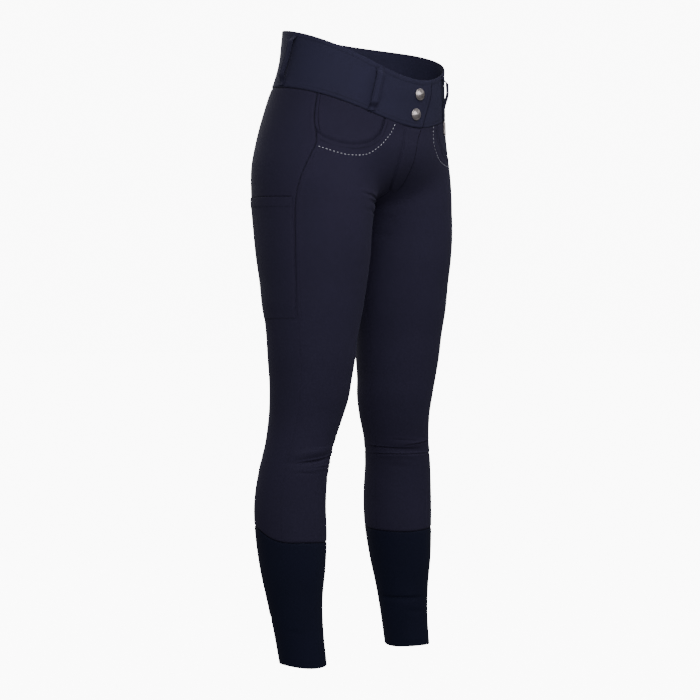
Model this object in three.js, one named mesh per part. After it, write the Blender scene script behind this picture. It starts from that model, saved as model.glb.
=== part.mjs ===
// Riding breeches, worn and hollow. Millimetres, +Z up, front towards -Y, wearer's right towards -X.
// The origin is the middle of the waist, level with the centre front of the waistband's top edge.
import * as THREE from 'three';

// Cloth and seams
const CLOTH = 1.6;
const POCKET_CLOTH = 1.2;
const SEAM_GAP = 0.3;
const LAID_ON = 0.6;

// Heights on the outer side of the leg
const CROTCH = -186;
const ARCH = 12;
const LEG_TOP = CROTCH - ARCH;
const HIP_LINE = -96;
const HEM = -897;

// The inner side of each leg opens over this angle to meet the centre plane squarely
const INNER_SPAN = THREE.MathUtils.degToRad(42);
const INNER_PULL = -26;

// Leg sections: height, centre from the middle of the body, centre to the back, half width, half depth
const LEG = [
  { z: -900, x: 119.5, y: -15.5, wide: 34.0, deep: 39.0 },
  { z: -850, x: 121.0, y: -7.0, wide: 36.0, deep: 41.0 },
  { z: -800, x: 123.0, y: 0.0, wide: 41.0, deep: 46.0 },
  { z: -750, x: 123.0, y: 4.5, wide: 48.0, deep: 54.0 },
  { z: -700, x: 122.5, y: 8.5, wide: 52.5, deep: 58.5 },
  { z: -650, x: 123.0, y: 10.0, wide: 53.0, deep: 58.5 },
  { z: -600, x: 119.5, y: 6.0, wide: 51.0, deep: 57.0 },
  { z: -560, x: 111.0, y: 1.5, wide: 51.0, deep: 56.0 },
  { z: -520, x: 102.0, y: -2.5, wide: 55.0, deep: 60.5 },
  { z: -490, x: 98.5, y: -6.5, wide: 59.0, deep: 64.5 },
  { z: -460, x: 98.5, y: -10.0, wide: 61.5, deep: 67.0 },
  { z: -430, x: 98.5, y: -12.0, wide: 65.0, deep: 70.5 },
  { z: -390, x: 98.5, y: -13.5, wide: 68.5, deep: 74.5 },
  { z: -350, x: 97.5, y: -14.5, wide: 73.5, deep: 81.5 },
  { z: -310, x: 96.0, y: -14.0, wide: 76.0, deep: 89.0 },
  { z: -270, x: 95.5, y: -12.5, wide: 78.5, deep: 97.5 },
  { z: -230, x: 95.0, y: -10.5, wide: 79.5, deep: 103.0 },
  { z: -186, x: 90.5, y: -7.0, wide: 84.0, deep: 108.5 },
];

// Hip and waist sections: height, centre to the back, half width, depth to the front and to the back
const HIP_POWER = 2.2;
const HIP = [
  { z: -190, y: -7, wide: 176.0, front: 131.0, back: 132.0 },
  { z: -160, y: -4, wide: 175.0, front: 133.0, back: 134.0 },
  { z: -130, y: -4, wide: 172.0, front: 133.0, back: 133.5 },
  { z: -100, y: -5, wide: 166.5, front: 132.0, back: 132.0 },
  { z: -80, y: -6, wide: 162.0, front: 130.5, back: 130.0 },
  { z: -60, y: -8, wide: 157.0, front: 129.5, back: 128.0 },
  { z: -40, y: -11, wide: 152.0, front: 128.0, back: 126.0 },
  { z: -20, y: -15, wide: 147.5, front: 126.0, back: 124.0 },
  { z: 0, y: -20, wide: 144.0, front: 121.5, back: 119.0 },
  { z: 30, y: -26, wide: 140.0, front: 116.0, back: 114.0 },
  { z: 70, y: -29, wide: 136.0, front: 114.0, back: 113.0 },
  { z: 100, y: -30, wide: 133.0, front: 112.0, back: 111.0 },
];

// Knee and calf folds: leg, middle angle and height, rise per degree, half length in degrees,
// half width and depth in millimetres, inward where the depth is negative
const FOLDS = [
  { leg: 'right', angle: 106, z: -582, rise: -0.125, reach: 62, half: 8, deep: -2.4 },
  { leg: 'right', angle: 110, z: -570, rise: -0.11, reach: 58, half: 8, deep: 1.6 },
  { leg: 'right', angle: 80, z: -594, rise: -0.08, reach: 44, half: 7, deep: 1.2 },
  { leg: 'left', angle: 55, z: -576, rise: -0.05, reach: 62, half: 8, deep: -2.4 },
  { leg: 'left', angle: 80, z: -565, rise: 0.03, reach: 52, half: 8, deep: 1.5 },
  { leg: 'left', angle: 40, z: -586, rise: 0.0, reach: 62, half: 7, deep: 1.1 },
  { leg: 'left', angle: 32, z: -819, rise: 0.0, reach: 95, half: 8, deep: -1.8 },
];

// Side seam: its angle round the leg at each height
const SIDE_SEAM = [
  { z: -720, angle: 150 }, { z: -560, angle: 148 }, { z: -421, angle: 149 },
  { z: -390, angle: 151 }, { z: -340, angle: 154 }, { z: -251, angle: 153.5 },
  { z: -184, angle: 151.5 }, { z: -163, angle: 148 }, { z: -141, angle: 142 },
  { z: -118, angle: 135 }, { z: -103, angle: 131 }, { z: -86, angle: 132.5 },
  { z: -70, angle: 136 }, { z: -31, angle: 139 }, { z: 0, angle: 140 },
];

// Scooped edge of the front pocket, from the waistband round to the side seam
const SCOOP = [
  { step: 0.0, angle: 50, z: -64 }, { step: 0.12, angle: 52.5, z: -76 },
  { step: 0.25, angle: 57.5, z: -89 }, { step: 0.38, angle: 67, z: -99 },
  { step: 0.52, angle: 81, z: -104.6 }, { step: 0.66, angle: 95, z: -106 },
  { step: 0.8, angle: 110, z: -103.4 }, { step: 0.91, angle: 123, z: -96.5 },
  { step: 1.0, angle: 132.4, z: -87.5 },
];
const SCOOP_TURNS_BACK = 6;
const FACING_DEPTH = 16;
const FACING_SET_IN = 2.4;

// Calf seam between leg and cuff
const CUFF_SEAM = [
  { angle: 0, z: -709 }, { angle: 60, z: -710 }, { angle: 110, z: -707 }, { angle: 150, z: -706 },
  { angle: 172, z: -701 }, { angle: 200, z: -690 }, { angle: 235, z: -686 }, { angle: 280, z: -696 },
  { angle: 330, z: -707 }, { angle: 360, z: -709 },
];

// Closure: where the right side's edge lies over the left, and the fly's edge and stitch line.
// Angles are counted from the centre front, positive to the wearer's right.
const LAP_EDGE = [{ z: -73, angle: -14 }, { z: -52, angle: -21 }, { z: -25, angle: -30 }, { z: 6, angle: -35 }];
const UNDER_EDGE = 8;
const LAP_FADE = { from: 12, to: 40 };
const FLY = [
  { z: -148, edge: -10, stitch: 3 }, { z: -141, edge: -10, stitch: 17 }, { z: -130, edge: -6, stitch: 24 },
  { z: -119, edge: -4, stitch: 26 }, { z: -98, edge: -4, stitch: 23 }, { z: -76, edge: -12, stitch: 19 },
];

// Thigh pocket on the right leg
const THIGH_POCKET = { front: 155, back: 236, bottom: -367, topFront: -185, topBack: -178 };

// Belt loops: side, angle at the bottom and top end, and where along it the loop leaves the band
const BAND_SPLIT = 195;
const LOOP_WIDTH = 12;
const LOOP_STAND = 6.4;
const LOOP_ENDS = 2;
const LOOPS = [
  { name: 'belt_loop_front_right', side: 1, low: 71, high: 65, leave: 0.06, clear: 0.19 },
  { name: 'belt_loop_front_left', side: -1, low: 78, high: 76, leave: 0.24, clear: 0.64 },
  { name: 'belt_loop_side_right', side: 1, low: 199, high: 191, leave: 0.06, clear: 0.19 },
  { name: 'belt_loop_side_left', side: -1, low: 199, high: 191, leave: 0.06, clear: 0.19 },
  { name: 'belt_loop_centre_back', side: 1, low: 360, high: 360, leave: 0.06, clear: 0.19 },
];

// Press-stud caps and the plain plate at the left hip
const SNAP = { radius: 9.6, rim: 1.6, dome: 2.6 };
const SNAPS = [
  { name: 'snap_upper', angle: -5, z: -22 },
  { name: 'snap_lower', angle: 0, z: -53 },
];
const PLATE = { angle: 83, middle: -62.6, width: 11, height: 20, cloth: 1.8 };

// Materials
const WOVEN = { color: 0x24242f, roughness: 0.82, metalness: 0 };
const BAND = { color: 0x26263a, roughness: 0.82, metalness: 0 };
const STRETCH = { color: 0x171a28, roughness: 0.75, metalness: 0 };
const METAL = { color: 0x9c9890, roughness: 0.32, metalness: 0.9 };

// Smooth curve through a table's rows, by one of its columns
function along(table, by, column, value) {
  const up = table[0][by] < table[table.length - 1][by];
  const rows = up ? table : [...table].reverse();
  const last = rows.length - 1;
  const v = Math.min(Math.max(value, rows[0][by]), rows[last][by]);
  let i = 0;
  while (i < last - 1 && v > rows[i + 1][by]) i += 1;
  const slope = (k) => (rows[k + 1][column] - rows[k][column]) / (rows[k + 1][by] - rows[k][by]);
  const tangent = (k) => {
    if (k === 0) return slope(0);
    if (k === last) return slope(last - 1);
    return (slope(k - 1) + slope(k)) / 2;
  };
  const span = rows[i + 1][by] - rows[i][by];
  const s = (v - rows[i][by]) / span;
  const start = rows[i][column] * (1 + 2 * s) * (1 - s) ** 2 + tangent(i) * span * s * (1 - s) ** 2;
  const end = rows[i + 1][column] * s * s * (3 - 2 * s) + tangent(i + 1) * span * s * s * (s - 1);
  return start + end;
}

const mix = (a, b, t) => a + (b - a) * t;
const clamp01 = (t) => Math.min(Math.max(t, 0), 1);
const ease = (t) => clamp01(t) ** 2 * (3 - 2 * clamp01(t));
const radians = THREE.MathUtils.degToRad;

// How far a fold moves the cloth outward at a point of one leg
function foldDepth(side, angle, z) {
  const leg = side > 0 ? 'right' : 'left';
  let depth = 0;
  for (const fold of FOLDS) {
    if (fold.leg !== leg) continue;
    const away = ((angle - fold.angle + 540) % 360) - 180;
    const run = Math.abs(away) / fold.reach;
    const off = Math.abs(z - fold.z - fold.rise * away) / fold.half;
    if (run < 1 && off < 1) depth += fold.deep * (1 - ease(run)) * (1 - ease(off));
  }
  return depth;
}

// Leg ring: the angle runs from the inside leg round the front to the outer side and the back
function legRing(angle, z) {
  const wide = along(LEG, 'z', 'wide', z);
  const deep = along(LEG, 'z', 'deep', z);
  const r = 1 / Math.hypot(Math.cos(angle) / wide, Math.sin(angle) / deep);
  const x = -along(LEG, 'z', 'x', z) + r * Math.cos(angle);
  const y = along(LEG, 'z', 'y', z) - r * Math.sin(angle);
  return [x, y];
}

// Hip ring: half of it, from the centre front round the side to the centre back
function hipRing(angle, z) {
  const half = angle / 2;
  const wide = along(HIP, 'z', 'wide', z);
  const deep = along(HIP, 'z', Math.cos(half) > 0 ? 'front' : 'back', z);
  const a = Math.abs(Math.cos(half) / deep) ** HIP_POWER;
  const b = Math.abs(Math.sin(half) / wide) ** HIP_POWER;
  const r = (a + b) ** (-1 / HIP_POWER);
  return [-r * Math.sin(half), along(HIP, 'z', 'y', z) - r * Math.cos(half)];
}

// Leg ring whose inner side runs out to the centre plane
function openRing(angle, z) {
  const turn = Math.min(angle, 2 * Math.PI - angle);
  if (turn >= INNER_SPAN) return legRing(angle, z);
  const sign = angle > Math.PI ? -1 : 1;
  const step = 0.001;
  const [x1, y1] = legRing(sign * INNER_SPAN, z);
  const [x2, y2] = legRing(sign * (INNER_SPAN + step), z);
  const tx = ((x2 - x1) / step) * INNER_SPAN;
  const ty = ((y2 - y1) / step) * INNER_SPAN;
  const s = turn / INNER_SPAN;
  const leave = s * (1 - s) ** 2;
  const reach = s * s * (3 - 2 * s);
  const arrive = s * s * (s - 1);
  const x = leave * INNER_PULL + reach * x1 + arrive * tx;
  const y = (1 - reach) * along(LEG, 'z', 'y', z) + reach * y1 + arrive * ty;
  return [x, y];
}

// Point of the garment's outer surface, by angle in degrees and height on the outer side.
// Above the crotch, angles below 0 or above 360 lie past the centre front or the centre back, on the
// other half. Below it they go on round the same leg.
function surface(side, degrees, level) {
  if (degrees < 0) return level > CROTCH ? surface(-side, -degrees, level) : surface(side, degrees + 360, level);
  if (degrees > 360) return level > CROTCH ? surface(-side, 720 - degrees, level) : surface(side, degrees - 360, level);
  const angle = radians(degrees);
  const middle = ((1 + Math.cos(angle)) / 2) ** 2;
  let x;
  let y;
  let z = level;
  if (level <= LEG_TOP) {
    [x, y] = legRing(angle, level);
    const fold = foldDepth(side, degrees, level);
    x += fold * Math.cos(angle);
    y -= fold * Math.sin(angle);
  } else if (level <= CROTCH) {
    const rise = (level - LEG_TOP) / ARCH;
    const turn = (rise * Math.PI) / 2;
    z = LEG_TOP + ARCH * mix(rise, Math.sin(turn), middle);
    const [x0, y0] = legRing(angle, z);
    const [x1, y1] = openRing(angle, z);
    x = mix(x0, x1, 1 - Math.cos(turn));
    y = mix(y0, y1, 1 - Math.cos(turn));
  } else if (level <= HIP_LINE) {
    const rise = (level - CROTCH) / (HIP_LINE - CROTCH);
    const turn = (rise * Math.PI) / 2;
    z = CROTCH + (HIP_LINE - CROTCH) * mix(rise, 1 - Math.cos(turn), middle);
    const blend = mix(ease(rise), Math.sin(turn), middle);
    const [x0, y0] = openRing(angle, CROTCH);
    const [x1, y1] = hipRing(angle, z);
    x = mix(x0, x1, blend);
    y = mix(y0, y1, blend);
  } else {
    [x, y] = hipRing(angle, level);
  }
  return new THREE.Vector3(x * side, y, z);
}

// Outward direction of the surface
function outward(side, degrees, level) {
  const round = surface(side, degrees + 0.4, level).sub(surface(side, degrees - 0.4, level));
  const low = surface(side, degrees, level - 0.4);
  const up = surface(side, degrees, level + 0.4).sub(low);
  return up.cross(round).normalize().multiplyScalar(side);
}

function lifted(side, degrees, level, lift) {
  return surface(side, degrees, level).addScaledVector(outward(side, degrees, level), lift);
}

// Millimetres round the garment for one degree
function degreeLength(side, degrees, level) {
  return surface(side, degrees + 0.5, level).distanceTo(surface(side, degrees - 0.5, level));
}

// Waistband edges, by angle
function bandLow(degrees) {
  const a = radians(degrees / 2);
  return -25 - 35.5 * Math.cos(a) - 9.5 * Math.cos(2 * a) - 3 * Math.cos(3 * a);
}

function bandTop(degrees) {
  const a = radians(degrees / 2);
  return 57 - 44.5 * Math.cos(a) - 11 * Math.cos(2 * a) - 1.5 * Math.cos(3 * a);
}

const sideSeam = (z) => along(SIDE_SEAM, 'z', 'angle', z);
const cuffSeam = (angle) => along(CUFF_SEAM, 'angle', 'z', angle);
const frontAngle = (side, angle) => angle + (side < 0 ? SCOOP_TURNS_BACK * clamp01((132 - angle) / 100) : 0);

// Closed wall over a grid of places. place(i, j) gives the angle, the height and the lift of a
// point of the outer face; the wall is as thick as the cloth, inward. Open edges are drawn back by
// half a seam gap; a grid that goes all round joins its last column to its first.
function wall({ rows, columns, place, side, cloth, round = false }) {
  const outer = [];
  const inner = [];
  for (let i = 0; i < rows; i += 1) {
    for (let j = 0; j < columns; j += 1) {
      const { angle, z, lift = 0 } = place(i / (rows - 1), j / (round ? columns : columns - 1));
      const point = surface(side, angle, z);
      const normal = outward(side, angle, z);
      outer.push(point.clone().addScaledVector(normal, lift));
      inner.push(point.clone().addScaledVector(normal, lift - cloth));
    }
  }
  const drawBack = (points) => {
    const moves = [];
    const pull = (from, to) => {
      const step = points[to].clone().sub(points[from]).setLength(SEAM_GAP / 2);
      moves.push([from, step]);
    };
    for (let j = 0; j < columns; j += 1) {
      pull(j, j + columns);
      pull((rows - 1) * columns + j, (rows - 2) * columns + j);
    }
    if (!round) {
      for (let i = 0; i < rows; i += 1) {
        pull(i * columns, i * columns + 1);
        pull(i * columns + columns - 1, i * columns + columns - 2);
      }
    }
    moves.forEach(([index, step]) => points[index].add(step));
  };
  drawBack(outer);
  drawBack(inner);
  const total = rows * columns;
  const triangles = [];
  const quad = (a, b, c, d) => {
    if (side > 0) triangles.push(a, c, b, a, d, c);
    else triangles.push(a, b, c, a, c, d);
  };
  const spans = round ? columns : columns - 1;
  for (let i = 0; i < rows - 1; i += 1) {
    for (let j = 0; j < spans; j += 1) {
      const a = i * columns + j;
      const b = i * columns + ((j + 1) % columns);
      quad(a, b, b + columns, a + columns);
      quad(total + a, total + a + columns, total + b + columns, total + b);
    }
  }
  for (let j = 0; j < spans; j += 1) {
    const a = j;
    const b = (j + 1) % columns;
    const top = (rows - 1) * columns;
    quad(total + a, total + b, b, a);
    quad(top + a, top + b, total + top + b, total + top + a);
  }
  if (!round) {
    for (let i = 0; i < rows - 1; i += 1) {
      const a = i * columns;
      const b = a + columns - 1;
      quad(a, a + columns, total + a + columns, total + a);
      quad(total + b, total + b + columns, b + columns, b);
    }
  }
  const geometry = new THREE.BufferGeometry();
  const positions = [...outer, ...inner].flatMap((p) => [p.x, p.y, p.z]);
  geometry.setAttribute('position', new THREE.Float32BufferAttribute(positions, 3));
  geometry.setIndex(triangles);
  geometry.computeVertexNormals();
  return geometry;
}

const breeches = new THREE.Group();

function add(name, geometry, finish) {
  const mesh = new THREE.Mesh(geometry, new THREE.MeshStandardMaterial(finish));
  mesh.name = name;
  breeches.add(mesh);
  return mesh;
}

// Heights of the leg panels' rows, closest together at the knee and the crotch
const LEG_ROWS = [
  0.0, 0.1, 0.2, 0.255, 0.275, 0.29, 0.305, 0.32, 0.34, 0.38, 0.44, 0.52, 0.6, 0.68, 0.76, 0.84, 0.91, 0.96, 1.0,
];
const RISE_ROWS = [-194, -190, -187, -184, -176, -165, -152, -138, -125];
const SHOULDER = -125;
const SCOOP_ROWS = 4;

// Height of a leg panel's row, from the calf seam up to just below the front pocket
function panelRow(k, angle) {
  if (k >= LEG_ROWS.length) return RISE_ROWS[k - LEG_ROWS.length];
  const low = cuffSeam(angle);
  return mix(low, LEG_TOP, LEG_ROWS[k]);
}
const PANEL_ROWS = LEG_ROWS.length + RISE_ROWS.length;

// Front leg panel: its upper edge follows the waistband, then the pocket's scoop
const SCOOP_START = 0.42;
function frontTop(side, s) {
  if (s <= SCOOP_START) {
    const angle = (s / SCOOP_START) * frontAngle(side, SCOOP[0].angle);
    return { angle, z: bandLow(angle) };
  }
  const step = (s - SCOOP_START) / (1 - SCOOP_START);
  const angle = frontAngle(side, along(SCOOP, 'step', 'angle', step));
  const start = bandLow(frontAngle(side, SCOOP[0].angle)) - SCOOP[0].z;
  return { angle, z: along(SCOOP, 'step', 'z', step) + start * clamp01(1 - step * 4) };
}

function frontPanel(side) {
  const columns = 13;
  const rows = PANEL_ROWS + SCOOP_ROWS;
  const place = (r, s) => {
    const i = Math.round(r * (rows - 1));
    if (i < PANEL_ROWS) {
      const z = panelRow(i, s * sideSeam(-400));
      return { angle: s * sideSeam(z), z };
    }
    const rise = (i - PANEL_ROWS + 1) / SCOOP_ROWS;
    const top = frontTop(side, s);
    const low = s * sideSeam(SHOULDER);
    const z = mix(SHOULDER, top.z, rise);
    return { angle: s === 1 ? sideSeam(z) : mix(low, top.angle, rise), z };
  };
  return wall({ rows, columns, place, side, cloth: CLOTH });
}

// Back leg panel: from the side seam to the inside leg and centre back, up to the waistband
function backPanel(side) {
  const columns = 15;
  const seamRows = [-70, -50, bandLow(sideSeam(-25))];
  const scoopEnd = SCOOP[SCOOP.length - 1].z;
  for (let k = SCOOP_ROWS; k >= 1; k -= 1) seamRows.unshift(mix(SHOULDER, scoopEnd, k / SCOOP_ROWS));
  const rows = PANEL_ROWS + seamRows.length;
  const place = (r, s) => {
    const i = Math.round(r * (rows - 1));
    if (i < PANEL_ROWS) {
      const z = panelRow(i, mix(sideSeam(-400), 360, s));
      return { angle: mix(sideSeam(z), 360, s), z };
    }
    const seamTop = seamRows[seamRows.length - 1];
    const rise = (seamRows[i - PANEL_ROWS] - SHOULDER) / (seamTop - SHOULDER);
    const high = bandLow(mix(sideSeam(-25), 360, s));
    const z = mix(SHOULDER, high, rise);
    return { angle: mix(sideSeam(z), 360, s), z };
  };
  return wall({ rows, columns, place, side, cloth: CLOTH });
}

// Pocket facing: the cloth seen inside the scoop, one layer in
function pocketFacing(side) {
  const place = (r, s) => {
    const top = frontTop(side, mix(SCOOP_START, 1, s));
    const forward = mix(top.angle - FACING_DEPTH * 0.5 * (1 - s), sideSeam(-80), 0);
    const low = Math.max(top.z - FACING_DEPTH, SHOULDER + 3);
    const high = bandLow(mix(forward, sideSeam(-30), s ** 6));
    const z = mix(low, high, r);
    const edge = mix(forward, sideSeam(z) - 0.3, s ** 6);
    return { angle: edge, z, lift: -FACING_SET_IN };
  };
  return wall({ rows: 6, columns: 12, place, side, cloth: POCKET_CLOTH });
}

// Waistband pieces between two angles, which may change with the height
function bandPiece(side, from, to, columns, lift) {
  const rows = 5;
  const place = (r, s) => {
    const level = (angle) => mix(bandLow(angle), bandTop(angle), r);
    const start = from(level(from(-70)));
    const angle = mix(start, to, s);
    return { angle, z: level(angle), lift: lift(angle) };
  };
  return wall({ rows, columns, place, side, cloth: CLOTH });
}

function waistband() {
  const lap = CLOTH + SEAM_GAP;
  const overLap = (angle) => lap * (1 - ease((angle - LAP_FADE.from) / (LAP_FADE.to - LAP_FADE.from)));
  const lapEdge = (z) => along(LAP_EDGE, 'z', 'angle', z);
  add('waistband_front_right', bandPiece(1, lapEdge, BAND_SPLIT, 22, overLap), BAND);
  add('waistband_front_left', bandPiece(-1, () => -UNDER_EDGE, BAND_SPLIT, 19, () => 0), BAND);
  add('waistband_back', bandPiece(1, () => BAND_SPLIT, 720 - BAND_SPLIT, 27, () => 0), BAND);
}

// Fly placket, laid over both fronts
function flyPlacket() {
  const place = (r, s) => {
    const low = FLY[0].z;
    const rough = mix(low, bandLow(0) - 1, r);
    const angle = mix(along(FLY, 'z', 'edge', rough), along(FLY, 'z', 'stitch', rough), s);
    return { angle, z: mix(low, bandLow(angle) - 1.2, r), lift: LAID_ON + POCKET_CLOTH };
  };
  add('fly_placket', wall({ rows: 9, columns: 5, place, side: 1, cloth: POCKET_CLOTH }), WOVEN);
}

function thighPocket() {
  const { front, back, bottom, topFront, topBack } = THIGH_POCKET;
  const place = (r, s) => {
    const z = mix(bottom, mix(topFront, topBack, s), r);
    const edge = Math.max(front, sideSeam(z) + 1);
    return { angle: mix(edge, back, s), z, lift: LAID_ON + POCKET_CLOTH };
  };
  add('thigh_pocket_right', wall({ rows: 9, columns: 9, place, side: 1, cloth: POCKET_CLOTH }), WOVEN);
}

// Stretch cuff: a tube from the calf seam to the ankle hem
function cuff(side) {
  const place = (r, s) => {
    const angle = 360 * s;
    return { angle, z: mix(HEM, cuffSeam(angle) - SEAM_GAP, r) };
  };
  return wall({ rows: 13, columns: 28, place, side, cloth: CLOTH, round: true });
}

// Belt loop: a strip sewn on at both ends and standing off the band between them
function beltLoop({ side, low, high, leave, clear }) {
  const place = (r, s) => {
    const middle = mix(low, high, r);
    const z = mix(bandLow(middle) + LOOP_ENDS, bandTop(middle) - LOOP_ENDS, r);
    const half = LOOP_WIDTH / 2 / degreeLength(side, middle, z);
    const stand = ease((r - leave) / (clear - leave)) * ease((0.94 - r) / 0.13);
    return { angle: middle + mix(-half, half, s), z, lift: LAID_ON + CLOTH + LOOP_STAND * stand };
  };
  return wall({ rows: 21, columns: 3, place, side, cloth: CLOTH });
}

// Press-stud cap: a rolled rim and a low dome, standing on the lapped band
function snapCap() {
  const { radius, rim, dome } = SNAP;
  const profile = [new THREE.Vector2(0, 0), new THREE.Vector2(radius - 0.6, 0), new THREE.Vector2(radius, 0.5)];
  profile.push(new THREE.Vector2(radius, rim - 0.4), new THREE.Vector2(radius - 0.7, rim));
  const steps = 5;
  for (let k = 0; k <= steps; k += 1) {
    const a = (k / steps) * (Math.PI / 2);
    const r = (radius - 1.6) * Math.cos(a);
    profile.push(new THREE.Vector2(k === steps ? 0 : r, rim + dome * Math.sin(a)));
  }
  return new THREE.LatheGeometry(profile, 24);
}

function hipPlate() {
  const { angle, middle, width, height, cloth } = PLATE;
  const half = width / 2 / degreeLength(-1, angle, middle);
  const place = (r, s) => ({
    angle: angle + mix(-half, half, s),
    z: middle + mix(-height / 2, height / 2, r),
    lift: SEAM_GAP + cloth,
  });
  return wall({ rows: 3, columns: 3, place, side: -1, cloth });
}

waistband();
add('front_right', frontPanel(1), WOVEN);
add('front_left', frontPanel(-1), WOVEN);
add('back_right', backPanel(1), WOVEN);
add('back_left', backPanel(-1), WOVEN);
add('pocket_facing_right', pocketFacing(1), WOVEN);
add('pocket_facing_left', pocketFacing(-1), WOVEN);
flyPlacket();
thighPocket();
add('cuff_right', cuff(1), STRETCH);
add('cuff_left', cuff(-1), STRETCH);
LOOPS.forEach((loop) => add(loop.name, beltLoop(loop), BAND));
SNAPS.forEach(({ name, angle, z }) => {
  const mesh = add(name, snapCap(), METAL);
  const lap = CLOTH + SEAM_GAP;
  mesh.position.copy(lifted(1, angle, z, lap + SEAM_GAP));
  mesh.quaternion.setFromUnitVectors(new THREE.Vector3(0, 1, 0), outward(1, angle, z));
});
add('hip_plate', hipPlate(), METAL);

export default breeches;
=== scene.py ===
"""Riding breeches, worn and hollow: navy woven stretch cloth, dark stretch cuffs, satin press studs.

Garment sizes are in millimetres, +Z up, front towards -Y, wearer's right towards -X, and are turned into
metres where a mesh is made. Angles run from the inside leg or centre front, round the front to the outer
side and on to the back.
"""
import math

import bpy
import numpy as np
from mathutils import Matrix, Vector


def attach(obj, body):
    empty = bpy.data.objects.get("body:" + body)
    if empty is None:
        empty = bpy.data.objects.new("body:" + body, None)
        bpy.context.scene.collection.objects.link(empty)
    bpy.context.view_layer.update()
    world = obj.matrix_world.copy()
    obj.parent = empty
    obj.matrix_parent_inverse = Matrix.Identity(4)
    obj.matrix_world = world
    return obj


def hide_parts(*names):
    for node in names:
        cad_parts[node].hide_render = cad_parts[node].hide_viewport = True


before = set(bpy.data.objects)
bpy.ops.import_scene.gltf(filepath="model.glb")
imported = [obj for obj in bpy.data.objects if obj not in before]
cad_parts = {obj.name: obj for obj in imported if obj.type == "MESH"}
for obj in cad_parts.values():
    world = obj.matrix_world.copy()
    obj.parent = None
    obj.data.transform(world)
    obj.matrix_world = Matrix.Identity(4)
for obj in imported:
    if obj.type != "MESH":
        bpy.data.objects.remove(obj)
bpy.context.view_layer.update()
bpy.ops.object.select_all(action="DESELECT")

MM = 0.001
SEWN = "sewn_"
CLOTH = 1.6
POCKET_CLOTH = 1.2
SEAM_GAP = 0.3
LAID_ON = 0.6
SET_BACK = 0.02
CROTCH, ARCH, HIP_LINE, HEM = -186.0, 12.0, -96.0, -897.0
LEG_TOP = CROTCH - ARCH
SHOULDER = -125.0
LEG_LENGTH = 505.0
INNER_SPAN = math.radians(42)
INNER_PULL = -26.0
HIP_POWER = 2.2


def table(columns, rows):
    """Rows of numbers as named columns, in the order of the first one."""
    values = np.array(sorted(rows), float)
    return {name: values[:, k] for k, name in enumerate(columns.split())}


# Leg sections: height, centre from the middle, centre to the back, half width, half depth
LEG = table("z x y wide deep", [
    (-900, 119.5, -15.5, 34.0, 39.0), (-850, 121.0, -7.0, 36.0, 41.0), (-800, 123.0, 0.0, 41.0, 46.0),
    (-750, 123.0, 4.5, 48.0, 54.0), (-700, 122.5, 8.5, 52.5, 58.5), (-650, 123.0, 10.0, 53.0, 58.5),
    (-600, 119.5, 6.0, 51.0, 57.0), (-560, 111.0, 1.5, 51.0, 56.0), (-520, 102.0, -2.5, 55.0, 60.5),
    (-490, 98.5, -6.5, 59.0, 64.5), (-460, 98.5, -10.0, 61.5, 67.0), (-430, 98.5, -12.0, 65.0, 70.5),
    (-390, 98.5, -13.5, 68.5, 74.5), (-350, 97.5, -14.5, 73.5, 81.5), (-310, 96.0, -14.0, 76.0, 89.0),
    (-270, 95.5, -12.5, 78.5, 97.5), (-230, 95.0, -10.5, 79.5, 103.0), (-186, 90.5, -7.0, 84.0, 108.5),
])
# Hip and waist sections: height, centre to the back, half width, depth to the front and to the back
HIP = table("z y wide front back", [
    (-190, -7, 176.0, 131.0, 132.0), (-160, -4, 175.0, 133.0, 134.0), (-130, -4, 172.0, 133.0, 133.5),
    (-100, -5, 166.5, 132.0, 132.0), (-80, -6, 162.0, 130.5, 130.0), (-60, -8, 157.0, 129.5, 128.0),
    (-40, -11, 152.0, 128.0, 126.0), (-20, -15, 147.5, 126.0, 124.0), (0, -20, 144.0, 121.5, 119.0),
    (30, -26, 140.0, 116.0, 114.0), (70, -29, 136.0, 114.0, 113.0), (100, -30, 133.0, 112.0, 111.0),
])
# Folds that are in the solids too: side, middle angle and height, rise per degree, half length in
# degrees, half width and depth, inward where the depth is negative
FOLDS = [
    (1, 106, -582, -0.125, 62, 8, -2.4), (1, 110, -570, -0.11, 58, 8, 1.6), (1, 80, -594, -0.08, 44, 7, 1.2),
    (-1, 55, -576, -0.05, 62, 8, -2.4), (-1, 80, -565, 0.03, 52, 8, 1.5), (-1, 40, -586, 0.0, 62, 7, 1.1),
    (-1, 32, -819, 0.0, 95, 8, -1.8),
]
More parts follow.
